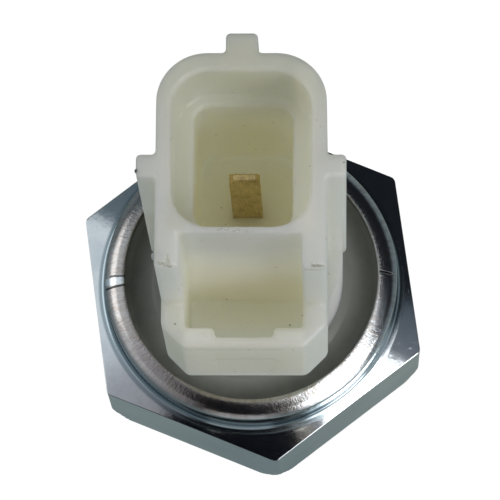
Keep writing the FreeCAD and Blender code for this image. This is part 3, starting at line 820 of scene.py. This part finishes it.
@dataclass
class SteelBody:
    """Hexagon body with a taper pipe thread, an oil port, and a collar rolled inward at its lip."""

    shank_length: float = 14.5
    thread_length: float = 12.6
    pitch: float = 25.4 / 18.0
    thread_height: float = 1.129
    pitch_radius: float = 6.065
    taper: float = 1.0 / 32.0
    flat_share: float = 0.12
    softness: float = 0.35
    tooth_band: Band = (0.08, 0.92)
    washout: float = 2.2
    end_radius: float = 5.165
    end_slope: float = 1.4
    neck_radius: float = 6.1
    neck_bottom: float = 13.5
    neck_round: float = 0.2
    half_flats: float = 13.5
    corner_round: float = 0.6
    corner_turn: float = -82.1
    underside_margin: float = 1.4
    underside_slope: float = 0.35
    edge_break: float = 0.04
    crown: float = 0.06
    hexagon_top: float = 22.5
    collar_radius: float = 12.46
    foot_round: float = 0.63
    collar_top: float = 25.9
    lip_shoulder: float = 0.35
    shoulder_angle: float = 45.0
    lip_radius: float = 10.77
    lip_edge: float = 0.12
    wall_drop: float = 1.5
    cavity_radius: float = 11.2
    upper_seat: float = 18.95
    lower_seat: float = 17.5
    lower_seat_radius: float = 10.6
    seal_outer: float = 10.1
    seal_inner: float = 8.3
    seal_height: float = 1.3
    chamber_radius: float = 7.4
    chamber_floor: float = 16.7
    port_radius: float = 1.6
    port_mouth: float = 1.2
    columns: int = 300
    corner_columns: tuple[float, ...] = (-1.3, -1.0, -0.7, -0.35, 0.0, 0.35, 0.7, 1.0, 1.3)
    edge_bends: tuple[float, ...] = (0.0, 22.0, 45.0, 68.0, 90.0)
    face_rows: tuple[float, ...] = (0.35, 0.6, 0.85, 1.1, 1.4, 1.8, 2.6, 4.4, 6.2, 7.9)
    last_share: float = 0.98
    rows_below: int = 3
    rows_above: int = 5
    rows_per_turn: int = 15
    foot_steps: int = 8
    shoulder_steps: int = 10
    crown_steps: int = 20
    edge_steps: int = 6
    profile_step: float = 2.5
    sharp_degrees: float = 32.0
    finish: ZincPlate = ZincPlate()

    def hexagon(self, inset: float) -> Array:
        """Radius of the rounded hexagon at each angle.

        A flat gives a / cos d, with a its distance and d the angle from its middle; past the flat,
        the corner's circle gives c cos e + sqrt(b^2 - c^2 sin^2 e), with e the angle from the corner.

        Args:
            inset: How far the outline is moved inward.

        Returns:
            The radius at each angle.
        """
        flat = self.half_flats - inset
        bend = self.corner_round
        corner = np.radians(self.corner_turn)
        from_flat = np.abs(np.mod(self.turn - corner, TURN / 6) - TURN / 12)
        from_corner = TURN / 12 - from_flat
        centre = (flat - bend) / np.cos(TURN / 12)
        straight = flat / np.cos(from_flat)
        root = np.sqrt(np.maximum(bend ** 2 - (centre * np.sin(from_corner)) ** 2, 0.0))
        curved = centre * np.cos(from_corner) + root
        on_flat = flat * np.tan(from_flat) < (flat - bend) * np.tan(TURN / 12)
        return np.where(on_flat, straight, curved)

    @cached_property
    def turn(self) -> Array:
        """Choose the angles of the body's columns.

        Returns:
            Even angles, with more of them where the hexagon turns its corners.
        """
        even = np.linspace(0.0, TURN, self.columns, endpoint=False)
        corners = np.radians(self.corner_turn) + TURN / 6 * np.arange(6)
        close = corners[:, None] + np.radians(self.corner_columns)
        return np.unique(np.round(np.mod(np.concatenate([even, close.ravel()]), TURN), 6))

    def thread(self) -> Array:
        """Grid of the threaded shank, from its end face up to its neck.

        The radius at height z and angle t is the root's plus the height times a truncated
        triangle wave of z / pitch - t / 2 pi, cut by the end's chamfer and washed out at the top.

        Returns:
            Rows x columns x 3.
        """
        count = int(self.thread_length / self.pitch * self.rows_per_turn)
        height = np.linspace(0.0, self.thread_length, count)[:, None]
        wave = np.abs(2.0 * np.mod(height / self.pitch - self.turn / TURN, 1.0) - 1.0)
        flank = np.clip(wave * (1.0 + 2.0 * self.flat_share) - self.flat_share, 0.0, 1.0)
        tooth = ease(wave, *self.tooth_band) * self.softness + flank * (1.0 - self.softness)
        middle = self.pitch_radius + height * self.taper
        root = middle - self.thread_height / 2
        crest = middle + self.thread_height / 2
        washed = np.clip((height - self.thread_length) / self.washout + 1.0, 0.0, 1.0)
        washout = root + self.thread_height * washed
        radius = np.maximum(root + self.thread_height * tooth, washout)
        radius = np.minimum(np.minimum(radius, crest), self.end_radius + height * self.end_slope)
        return about_axis(radius, self.turn, height)

    def hexagon_rows(self) -> Array:
        """Grid of the hexagon's faces, from its underside up to its top.

        Inset and height go round each edge in a quarter circle. A cone cuts the lower corners, and
        past the foot's round the top falls outward by the crown's slope.

        Returns:
            Rows x columns x 3.
        """
        bottom, top, edge = self.shank_length, self.hexagon_top, self.edge_break
        bends = np.radians(self.edge_bends)
        stations = [(edge * (1.0 - np.sin(a)), bottom + edge * (1.0 - np.cos(a))) for a in bends]
        stations += [(0.0, bottom + rise) for rise in self.face_rows]
        stations += [(edge * (1.0 - np.cos(a)), top - edge * (1.0 - np.sin(a))) for a in bends]
        foot = self.collar_radius + self.foot_round
        rows = []
        for inset, height in stations:
            cone = self.half_flats + self.underside_margin + self.underside_slope * (height - bottom) - inset
            radius = np.minimum(self.hexagon(inset), cone)
            lowered = self.crown * np.maximum(radius - foot, 0.0) * (height > bottom + edge)
            rows.append(about_axis(radius, self.turn, height - lowered))
        return np.stack(rows)

    def between(self, inner: float, height: float, fall: float, count: int) -> Array:
        """Rows from a circle out to the hexagon, with one more just inside its edge.

        A row has radius = inner + share (hexagon - inner) and lies at height - fall (radius - inner).

        Args:
            inner: Radius of the circle.
            height: Height of the circle.
            fall: How much a row drops for each millimetre outward; 0 is the flat underside.
            count: How many rows there are before the last one.

        Returns:
            Rows x columns x 3.
        """
        share = np.append(np.linspace(0.0, 1.0, count + 1)[:-1], self.last_share)[:, None]
        outer = self.hexagon(self.edge_break)
        if fall == 0.0:
            outer = np.minimum(outer, self.half_flats + self.underside_margin - self.edge_break)
        radius = inner + share * (outer - inner)
        return about_axis(radius, self.turn, height - fall * (radius - inner))

    def collar(self) -> Array:
        """Draw the collar and the cavity.

        Returns:
            Radius and height from the collar's foot over its rolled lip and down to the port's mouth.
        """
        foot, top, drop = self.foot_round, self.collar_top, self.wall_drop
        outer, lip, edge = self.collar_radius, self.lip_radius, self.lip_edge
        low, angle = self.lip_shoulder, self.shoulder_angle
        bend = low + (outer - lip - edge - low) / np.cos(np.radians(angle))
        shoulder = (outer - low, top - bend + (bend - low) * np.sin(np.radians(angle)))
        chain = [*quarter((outer + foot, self.hexagon_top + foot), foot, 270.0, 180.0, self.foot_steps)]
        chain += [*quarter(shoulder, low, 0.0, angle, self.shoulder_steps)]
        chain += [*quarter((lip + edge, top - bend), bend, angle, 90.0, self.crown_steps)]
        chain += [*quarter((lip + edge, top - edge), edge, 90.0, 180.0, self.edge_steps)]
        chain += [
            (lip, top - drop + (self.cavity_radius - lip)),
            (self.cavity_radius, top - drop),
            (self.cavity_radius, self.upper_seat),
            (self.lower_seat_radius, self.upper_seat),
            (self.lower_seat_radius, self.lower_seat),
            (self.seal_outer, self.lower_seat),
            (self.seal_outer, self.lower_seat - self.seal_height),
            (self.seal_inner, self.lower_seat - self.seal_height),
            (self.seal_inner, self.lower_seat),
            (self.chamber_radius, self.lower_seat),
            (self.chamber_radius, self.chamber_floor),
            (self.port_radius, self.chamber_floor),
            (self.port_radius, self.port_mouth),
            (self.port_radius + self.port_mouth, 0.0),
        ]
        return along(chain, self.profile_step)

    def build(self) -> Piece:
        """Build and dress the steel body.

        Returns:
            One closed surface: out along the thread's end, up the shank, over the hexagon and the
            collar, and back down through the cavity and the oil port.
        """
        foot = self.collar_radius + self.foot_round
        neck_end = self.neck_radius + self.neck_round
        neck = np.array([(self.neck_radius, self.neck_bottom),
                         (self.neck_radius, self.shank_length - self.neck_round),
                         (neck_end, self.shank_length)])
        below = self.between(neck_end, self.shank_length, 0.0, self.rows_below)[1:]
        above = self.between(foot, self.hexagon_top, self.crown, self.rows_above)[::-1][:-1]
        collar = self.collar()
        grid = np.concatenate([
            self.thread(),
            about_axis(neck[:, :1], self.turn, neck[:, 1:]),
            below,
            self.hexagon_rows(),
            above,
            about_axis(collar[:, :1], self.turn, collar[:, 1:]),
        ])
        piece = surface("steel_body", grid, wrap_rows=True)
        smooth(piece, self.sharp_degrees)
        dress(piece, self.finish.material())
        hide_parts("hex_body")
        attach(piece, "shell")
        return piece


@dataclass
class ConnectorHousing:
    """One moulding: flange, boss, connector tower with its socket, latch frame and wings."""

    edge_round: float = 0.35
    edge_steps: int = 3
    rim: float = 56.0
    boss_top: float = 33.2
    tower_front: float = -4.4
    panel: Point = (2.45, -10.6, 41.1)
    slot: Point = (1.3, 2.2, 3.1)
    floor: float = 35.9
    latch_slot: float = 4.75
    slack: float = 0.1
    space_share: float = 0.7
    least_share: float = 0.6
    sharp_degrees: float = 38.0
    flash: tuple[tuple[Point, Point], ...] = (
        ((-8.06, 0.6, 55.6), (0.15, 0.18, 0.24)),
        ((-6.66, -6.1, 55.3), (0.18, 0.3, 0.4)),
    )
    finish: NaturalNylon = NaturalNylon()

    def share(self, first: Array, last: Array) -> float:
        """How much of the round an edge gets.

        Args:
            first: One end of the edge, in millimetres.
            last: Its other end.

        Returns:
            0 up to the boss's top, in the blade's slot and round the shallow panel; the least share
            on the tower's front edge over the latch slot, more as the mouth's edge moves away from
            it; and 1 elsewhere.
        """
        low, high = np.minimum(first, last), np.maximum(first, last)
        aside = max(abs(low[0]), abs(high[0]))
        half, front, back = self.slot
        in_slot = aside < half and front < low[1] and high[1] < back and high[2] < self.floor
        on_panel = aside < self.panel[0] and high[1] < self.panel[1] and high[2] < self.panel[2]
        if high[2] < self.boss_top + self.slack or in_slot or on_panel:
            return 0.0
        space = (low[1] + high[1]) / 2 - self.tower_front
        if low[2] < self.rim - self.slack or aside > self.latch_slot or space <= -self.slack:
            return 1.0
        return float(np.clip(space * self.space_share, self.least_share, 1.0))

    def build(self) -> Piece:
        """Build and dress the moulding.

        Returns:
            The solid's own shape with its edges softly rounded, and two specks of flash.
        """
        piece = rounded_copy("connector_housing", "moulded_connector", self.edge_round, self.edge_steps,
                             self.share)
        with edited(piece.data) as work:
            for place, reach in self.flash:
                at = Matrix.Translation(Vector(place) * MM) @ Matrix.Diagonal((*reach, 1.0))
                bmesh.ops.create_icosphere(work, subdivisions=2, radius=MM, matrix=at)
        smooth(piece, self.sharp_degrees)
        dress(piece, self.finish.material())
        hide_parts("connector_housing")
        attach(piece, "shell")
        return piece


@dataclass
class SealingCompound:
    """Ring of cured compound between the collar and the boss, risen a little up both walls."""

    # its last colour is painted light bounced off the moulding onto the compound near the boss
    finish: DullSolid = DullSolid("compound", (0.175, 0.182, 0.16), (0.125, 0.13, 0.115), 0.42, 0.25, 3.0,
                                  0.02, painted_bounce=(0.36, 0.37, 0.34))

    def dress(self) -> None:
        """Give the solid its finish."""
        dress(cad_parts["sealing_compound"], self.finish.material())


@dataclass
class ReturnSpring:
    """Wire spring between the moving contact's brim and the earthing cup, its end turns closed."""

    wire: float = 0.5
    mean_radius: float = 4.4
    turns: float = 4.5
    bottom: float = 23.5
    top: float = 30.0
    travel: float = 0.6
    end_turn: float = 0.8
    closed_share: float = 0.4
    eased_share: float = 0.15
    points_per_turn: int = 72
    points_around: int = 16
    sharp_degrees: float = 60.0
    finish: BareMetal = BareMetal("spring_wire", (0.52, 0.52, 0.50), (0.22, 0.22, 0.22), 0.25)

    def path(self) -> Array:
        """Centre line: a circle whose height rises only past the closed end turns.

        Returns:
            Points x 3, at height = bottom + wire / 2 + rise, with the rise eased in and out.
        """
        count = int(self.turns * self.points_per_turn)
        turn = np.linspace(0.0, self.turns, count)
        closed = self.end_turn * self.closed_share
        eased = ease(turn, closed, self.turns - closed)
        even = np.clip((turn - self.end_turn) / (self.turns - 2 * self.end_turn), 0.0, 1.0)
        rise = self.eased_share * eased + (1.0 - self.eased_share) * even
        height = self.bottom + self.wire / 2 + (self.top - self.bottom - self.wire) * rise
        return about_axis(self.mean_radius, turn * TURN, height)

    def build(self) -> Piece:
        """Build and dress the spring.

        Returns:
            A wire of round section carried along the centre line, closed by a point at each end.
        """
        line = self.path()
        ahead = np.gradient(line, axis=0)
        ahead /= np.linalg.norm(ahead, axis=1, keepdims=True)
        outward = line * np.array([1.0, 1.0, 0.0])
        outward /= np.linalg.norm(outward, axis=1, keepdims=True)
        across = np.cross(ahead, outward)
        around = np.linspace(0.0, TURN, self.points_around, endpoint=False)[:, None]
        section = outward[:, None] * np.cos(around) + across[:, None] * np.sin(around)
        grid = line[:, None] + section * self.wire / 2
        first = np.repeat(line[:1, None], self.points_around, 1)
        last = np.repeat(line[-1:, None], self.points_around, 1)
        piece = surface("closed_end_spring", np.concatenate([first, grid, last]))
        with edited(piece.data) as work:
            bmesh.ops.remove_doubles(work, verts=work.verts, dist=WELD_DISTANCE)
            bmesh.ops.recalc_face_normals(work, faces=work.faces)
        smooth(piece, self.sharp_degrees)
        dress(piece, self.finish.material())
        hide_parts("return_spring")
        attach(piece, "shell")
        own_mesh(piece)
        return piece


@dataclass
class SwitchParts:
    """Pieces of the switch whose solids are carried over, each with its own finish."""

    blade: BareMetal = BareMetal("blade_brass", (0.70, 0.55, 0.26), (0.27, 0.20, 0.08), 0.3,
                                 Grain.LENGTHWISE, 0.6)
    rivet: BareMetal = BareMetal("contact_silver", (0.78, 0.77, 0.74), (0.45, 0.43, 0.40), 0.22, tarnish=0.3)
    cup: BareMetal = BareMetal("tinned_sheet", (0.60, 0.60, 0.58), (0.34, 0.34, 0.33), 0.32,
                               Grain.RADIAL, 0.35)
    plate: BareMetal = BareMetal("contact_brass", (0.66, 0.50, 0.25), (0.34, 0.24, 0.10), 0.3,
                                 Grain.RADIAL, 0.35)
    rubber: DullSolid = DullSolid("seal_rubber", (0.018, 0.018, 0.019), (0.032, 0.032, 0.033), 0.6)
    film: DullSolid = DullSolid("diaphragm_film", (0.42, 0.21, 0.045), (0.34, 0.16, 0.03), 0.22, 0.4,
                                1.2, 0.01)
    phenolic: DullSolid = DullSolid("plunger_phenolic", (0.10, 0.045, 0.025), (0.065, 0.03, 0.018), 0.4)

    def dress(self) -> None:
        """Give each carried-over solid its finish."""
        table = {
            "blade_terminal": self.blade,
            "fixed_contact": self.rivet,
            "contact_button": self.rivet,
            "contact_plate": self.plate,
            "ground_cup": self.cup,
            "guide_washer": self.cup,
            "diaphragm_seal": self.rubber,
            "diaphragm": self.film,
            "plunger": self.phenolic,
        }
        made = {}
        for node, finish in table.items():
            if finish.name not in made:
                made[finish.name] = finish.material()
            dress(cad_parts[node], made[finish.name])
            log.info("%s: dressed in %s", node, finish.name)


@dataclass
class Studio:
    """White floor and surround, soft lamps, and the cards that the plating mirrors."""

    camera_place: Point = (7.927, -74.260, 313.925)
    camera_turn: Point = (14.8737, 1.4893, 0.3955)
    lens: float = 252.0
    sensor: float = 36.0
    clips: Band = (0.01, 10.0)
    lamps: tuple[tuple[str, Point, float, float], ...] = (
        ("key_lamp", (420.0, -260.0, 420.0), 260.0, 1.0),
        ("fill_lamp", (-380.0, 120.0, 380.0), 320.0, 0.36),
        ("front_lamp", (-60.0, -520.0, 170.0), 300.0, 0.13),
    )
    lamp_aim: Point = (0.0, 0.0, 30.0)
    surround: float = 0.27
    floor_half: float = 1500.0
    floor_drop: float = 0.02
    floor_lines: int = 9
    floor_left: Band = (-3.0, -14.0)
    floor_right: Band = (3.0, 17.0)
    floor_white: float = 1.15
    floor_share: float = 0.86
    dome_radius: float = 900.0
    dome_rise: Band = (150.0, 430.0)
    dome_ends: Band = (0.2, 89.5)
    dome_rows: int = 24
    card_height: float = 422.5
    card_radius: float = 500.0
    card_rise: Band = (0.0, 1.0)
    card_rows: int = 8
    columns: int = 64
    sectors: tuple[tuple[float, Colour], ...] = (
        (-180.0, (0.80, 0.86, 0.90)), (-158.0, (0.78, 0.83, 0.88)),
        (-142.0, (0.42, 0.43, 0.47)), (-125.0, (0.32, 0.32, 0.34)),
        (-119.0, (0.004, 0.005, 0.007)), (-74.0, (0.004, 0.005, 0.008)),
        (-71.0, (0.34, 0.31, 0.27)), (-68.0, (0.30, 0.28, 0.26)),
        (-66.5, (0.05, 0.06, 0.08)), (-63.5, (0.09, 0.11, 0.13)),
        (-60.5, (4.2, 4.25, 4.3)), (-32.0, (4.2, 4.25, 4.3)),
        (-28.0, (0.16, 0.18, 0.21)), (-9.0, (0.10, 0.12, 0.145)),
        (-3.0, (0.012, 0.014, 0.018)), (62.0, (0.012, 0.014, 0.018)),
        (110.0, (0.07, 0.09, 0.10)), (152.0, (0.14, 0.18, 0.21)),
        (156.0, (0.80, 0.86, 0.90)), (180.0, (0.80, 0.86, 0.90)),
    )
    card_middle: Station = (-10.9, 101.9)
    low_tint: Colour = (0.20, 0.245, 0.27)
    low_share: Colour = (0.14, 0.15, 0.16)
    floor_tints: tuple[Colour, ...] = ((0.46, 0.56, 0.57), (0.385, 0.485, 0.50), (0.60, 0.70, 0.68))
    dark_middle: Colour = (0.04, 0.042, 0.048)
    dark_spot: Band = (46.0, 30.0)

    def camera(self) -> None:
        """Set the camera where the photograph was taken from."""
        data = bpy.data.cameras.new("photo_camera")
        data.lens = self.lens
        data.sensor_width = self.sensor
        data.clip_start, data.clip_end = self.clips
        made = bpy.data.objects.new("photo_camera", data)
        made.location = tuple(value * MM for value in self.camera_place)
        made.rotation_euler = tuple(np.radians(self.camera_turn))
        bpy.context.scene.collection.objects.link(made)
        bpy.context.scene.camera = made

    def lamp(self, name: str, place: Point, size: float, power: float) -> None:
        """Add a square soft lamp that looks at the object.

        Args:
            name: Name of the lamp.
            place: Its middle, in millimetres.
            size: Its side, in millimetres.
            power: Its power in watts.
        """
        data = bpy.data.lights.new(name, "AREA")
        data.size = size * MM
        data.energy = power
        made = bpy.data.objects.new(name, data)
        made.location = tuple(value * MM for value in place)
        made.rotation_euler = (Vector(self.lamp_aim) - Vector(place)).to_track_quat("-Z", "Y").to_euler()
        bpy.context.scene.collection.objects.link(made)

    def seen(self, recipe: Recipe, in_mirrors: float = 1.0) -> Signal:
        """1 for what the camera sees, also through glass, and the given share in a mirror."""
        path = recipe.node("LightPath", {})
        camera, glossy, through = (Signal(recipe, path.outputs[name]) for name in
                                   ("Is Camera Ray", "Is Glossy Ray", "Is Transmission Ray"))
        return camera.at_least(glossy * in_mirrors).at_least(through)

    def world(self) -> None:
        """Plain light from all round that looks white."""
        world = bpy.data.worlds.new("surround")
        bpy.context.scene.world = world
        world.use_nodes = True
        recipe = Recipe("surround", world.node_tree)
        strength = self.surround + self.seen(recipe) * (1.0 - self.surround)
        light = recipe.signal("Background", {"Color": WHITE, "Strength": strength})
        recipe.node("OutputWorld", {"Surface": light})

    def floor(self) -> None:
        """Pale floor that looks white and keeps the object's shadow."""
        side = np.linspace(-self.floor_half, self.floor_half, self.floor_lines)
        x, y = np.meshgrid(side, side, indexing="xy")
        floor = surface("floor", np.stack([x, y, 0.0 * x - self.floor_drop], -1), wrap_columns=False)
        recipe = Recipe("floor")
        x, _, _ = recipe.parts(recipe.place())
        left, middle, right = self.floor_tints
        tint = recipe.layers(middle, (x.step(*self.floor_left), left), (x.step(*self.floor_right), right))
        shaded = recipe.signal("BsdfDiffuse", {"Color": tint})
        white = recipe.signal("Emission", {"Color": WHITE, "Strength": self.floor_white})
        share = self.seen(recipe, 0.0) * self.floor_share
        dress(floor, recipe.surfaced({0: share, 1: shaded, 2: white}, "MixShader"))
        floor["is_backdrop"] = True

    def mirrored(self, name: str, points: Array, middle: Station, rise: Band) -> None:
        """Stand a card that only mirrors see, and that casts no light and no shadow.

        Its colour depends on the heading from its middle, atan2(y, x) read on the table of sectors,
        turns to the low tint near the ground and is dark at its very middle, where the lens would be.

        Args:
            name: Name of the card.
            points: Its grid, with closed columns.
            middle: The point that the headings start from.
            rise: Heights between which the low tint gives way to the sectors.
        """
        card = surface(name, points)
        recipe = Recipe(name)
        x, y, z = recipe.parts(recipe.place())
        share = recipe.maths("ARCTAN2", y - middle[1], x - middle[0]) / TURN + 0.5
        stops = [(heading / 360.0 + 0.5, colour) for heading, colour in self.sectors]
        tint = recipe.signal("ValToRGB", {0: share}, stops=stops)
        low = recipe.vector("MULTIPLY_ADD", tint, self.low_share, self.low_tint)
        tint = recipe.mix(z.step(*rise), low, tint)
        spot = recipe.vector("LENGTH", recipe.joined(x - middle[0], y - middle[1], 0.0), output="Value")
        tint = recipe.mix(spot.step(*self.dark_spot), tint, self.dark_middle)
        dress(card, recipe.surfaced({"Color": tint, "Strength": 1.0}, "Emission"))
        for ray in ("camera", "diffuse", "transmission", "shadow", "volume_scatter"):
            setattr(card, f"visible_{ray}", False)
        card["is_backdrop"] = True

    def cards(self) -> None:
        """Stand a round card overhead and a dome round it.

        The card is x = middle + r cos a, y = middle + r sin a at one height; the dome is
        x, y, z = radius (cos a cos e, sin a cos e, sin e).
        """
        turn = np.linspace(0.0, TURN, self.columns, endpoint=False)
        reach = np.linspace(self.card_radius, 1.0, self.card_rows)[:, None]
        card = about_axis(reach, turn, 0.0 * reach) + np.array((*self.card_middle, self.card_height))
        self.mirrored("mirror_card", card, self.card_middle, self.card_rise)
        rise = np.radians(np.linspace(*self.dome_ends, self.dome_rows))[:, None]
        dome = self.dome_radius * about_axis(np.cos(rise), turn, np.sin(rise))
        self.mirrored("mirror_dome", dome, (0.0, 0.0), self.dome_rise)

    def build(self) -> None:
        """Set up the camera, the lamps and the surround."""
        scene = bpy.context.scene
        scene.view_settings.view_transform = "Standard"
        self.camera()
        self.world()
        self.floor()
        self.cards()
        for lamp in self.lamps:
            self.lamp(*lamp)


def write_sizes(before: Any, after: Any) -> None:
    """Turn the solids' box and the dressed model's box into plain lists."""
    boxes = [[[float(value) for value in corner] for corner in box] for box in (before, after)]


def main() -> None:
    """Build every piece in order and report it."""
    logging.basicConfig(level=logging.INFO, format="%(message)s")
    solids_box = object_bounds()
    for maker in (SteelBody(), ConnectorHousing(), ReturnSpring()):
        piece = maker.build()
        log.info("%s: %d vertices", piece.name, len(piece.data.vertices))
    SealingCompound().dress()
    SwitchParts().dress()
    Studio().build()
    write_sizes(solids_box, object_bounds())


if __name__ == "__main__":
    main()
